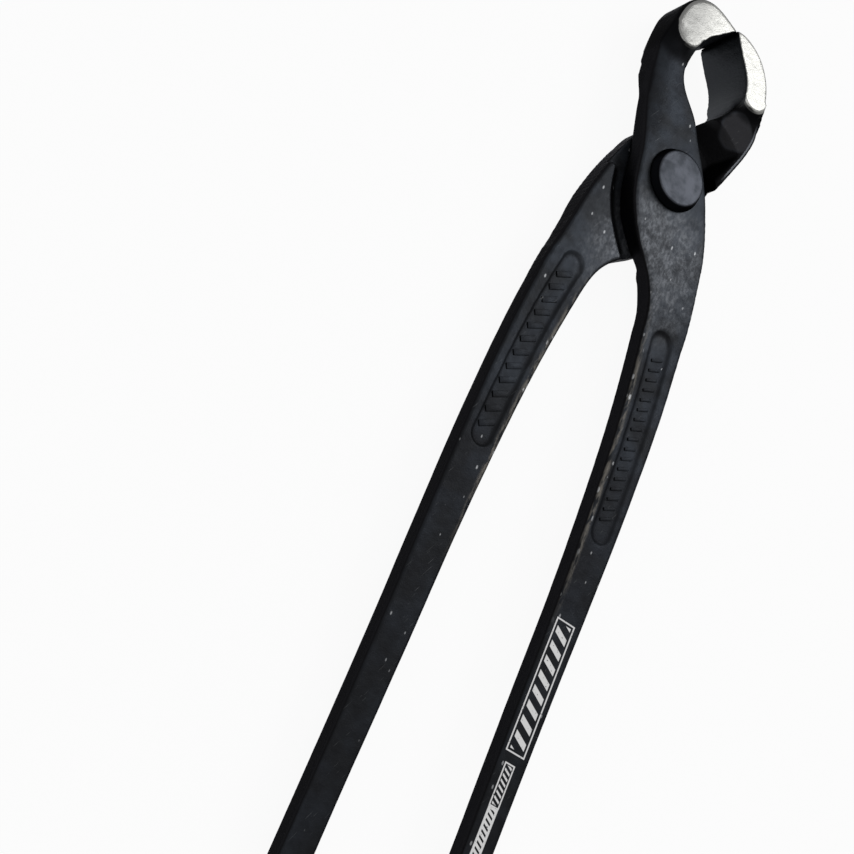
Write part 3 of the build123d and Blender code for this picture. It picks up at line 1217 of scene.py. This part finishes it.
@dataclass(frozen=True)
class RibSizes:
    """Sizes of a row of ribs, and the slant of each rib in degrees."""

    start: float
    end: float
    step: float
    length: float
    width: float
    slant: float
    height: float = 0.3 * MM
    sunk: float = 0.3 * MM
    round_off: float = 0.12 * MM


FINE_RIBS = RibSizes(start=-43.0 * MM, end=-88.0 * MM, step=2.7 * MM,
                     length=3.4 * MM, width=0.8 * MM, slant=28.0)
BROAD_RIBS = RibSizes(start=-38.5 * MM, end=-82.5 * MM, step=4.0 * MM,
                      length=4.4 * MM, width=1.5 * MM, slant=32.0)


@dataclass(frozen=True)
class PanelRibs:
    """A row of plain raised ribs on the floor of a recessed panel."""

    name: str
    body: str
    front: int
    sizes: RibSizes
    row_height: float = 0.6 * MM
    core_width: float = 1.0 * MM
    smooth_angle: float = math.radians(40.0)

    def build(self, lever: Points, material: bpy.types.Material) -> None:
        """Lay the ribs along the middle of the handle.

        Args:
            lever: The points of the lever that carries them.
            material: Their finish.
        """
        rib = self.model_rib()
        count = int((self.sizes.start - self.sizes.end) / self.sizes.step) + 1
        copies = [self.copied(rib, lever, index) for index in range(count)]
        bpy.data.objects.remove(rib)
        active(copies[0])
        for copy in copies:
            copy.select_set(True)
        bpy.ops.object.join()
        piece = bpy.context.object
        piece.name = self.name
        bpy.ops.object.shade_smooth_by_angle(angle=self.smooth_angle)
        piece.data.materials.append(material)
        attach(piece, self.body)
        log.info("%s: %d ribs", piece.name, count)

    def model_rib(self) -> bpy.types.Object:
        """Model a bar with rounded edges at the origin.

        Returns:
            The rib.
        """
        sizes = self.sizes
        bpy.ops.object.select_all(action="DESELECT")
        bpy.ops.mesh.primitive_cube_add(
            size=1.0, scale=(sizes.length, sizes.width, sizes.height + sizes.sunk))
        bpy.ops.object.transform_apply(location=False, rotation=False, scale=True)
        bpy.ops.object.mode_set(mode="EDIT")
        bpy.ops.mesh.select_all(action="SELECT")
        bpy.ops.mesh.bevel(offset=sizes.round_off, segments=2)
        bpy.ops.object.mode_set(mode="OBJECT")
        return bpy.context.object

    def copied(self, rib: bpy.types.Object, lever: Points, index: int) -> bpy.types.Object:
        """A copy of the rib at its place in the row.

        Args:
            rib: The rib at the origin.
            lever: The points of the lever that carries it.
            index: Its number in the row.

        Returns:
            The copy, with its place in its mesh.
        """
        sizes = self.sizes
        along = sizes.start - index * sizes.step
        row = lever.rows[abs(lever.rows[:, 1] - along) < self.row_height]
        across = (row[:, 0].min() + row[:, 0].max()) / 2
        core = row[abs(row[:, 0] - across) < self.core_width, 2]
        floor = core.max() if self.front > 0 else core.min()
        place = Vector((across, along, floor + self.front * (sizes.height - sizes.sunk) / 2))
        turn = Matrix.Rotation(math.radians(sizes.slant), 4, "Z")
        mesh = rib.data.copy()
        mesh.transform(Matrix.Translation(place) @ turn)
        copy = bpy.data.objects.new(self.name, mesh)
        bpy.context.scene.collection.objects.link(copy)
        return copy


def main() -> None:
    """Build everything in order."""
    logging.basicConfig(level=logging.INFO, format="%(message)s")
    low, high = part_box("pivot_rivet")
    middle = (low.z + high.z) / 2
    _, jaw_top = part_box("front_lever")
    Studio(middle).build()
    black = ForgedBlack(middle, GroundSides(jaw_top.z - middle)).material()
    steel = RivetSteel().material()
    front_copy = SoftenedCopy("front_lever", "front_half", "forged_black")
    rear_copy = SoftenedCopy("rear_lever", "rear_half", "forged_black")
    rivet_copy = SoftenedCopy("pivot_rivet", "rear_half", "rivet_steel", voxel=0.3 * MM, smoothing=2)
    front = FrontLever(front_copy, -1, middle).build(black)
    rear = Lever(rear_copy, 1, middle).build(black)
    Rivet(rivet_copy).build(steel)
    PanelRibs("front_lever_fine_ribs", "front_half", 1, FINE_RIBS).build(front, black)
    PanelRibs("front_lever_broad_ribs", "front_half", -1, BROAD_RIBS).build(front, black)
    PanelRibs("rear_lever_fine_ribs", "rear_half", -1, FINE_RIBS).build(rear, black)
    PanelRibs("rear_lever_broad_ribs", "rear_half", 1, BROAD_RIBS).build(rear, black)
    bpy.context.scene.view_settings.view_transform = "Standard"


if __name__ == "__main__":
    main()
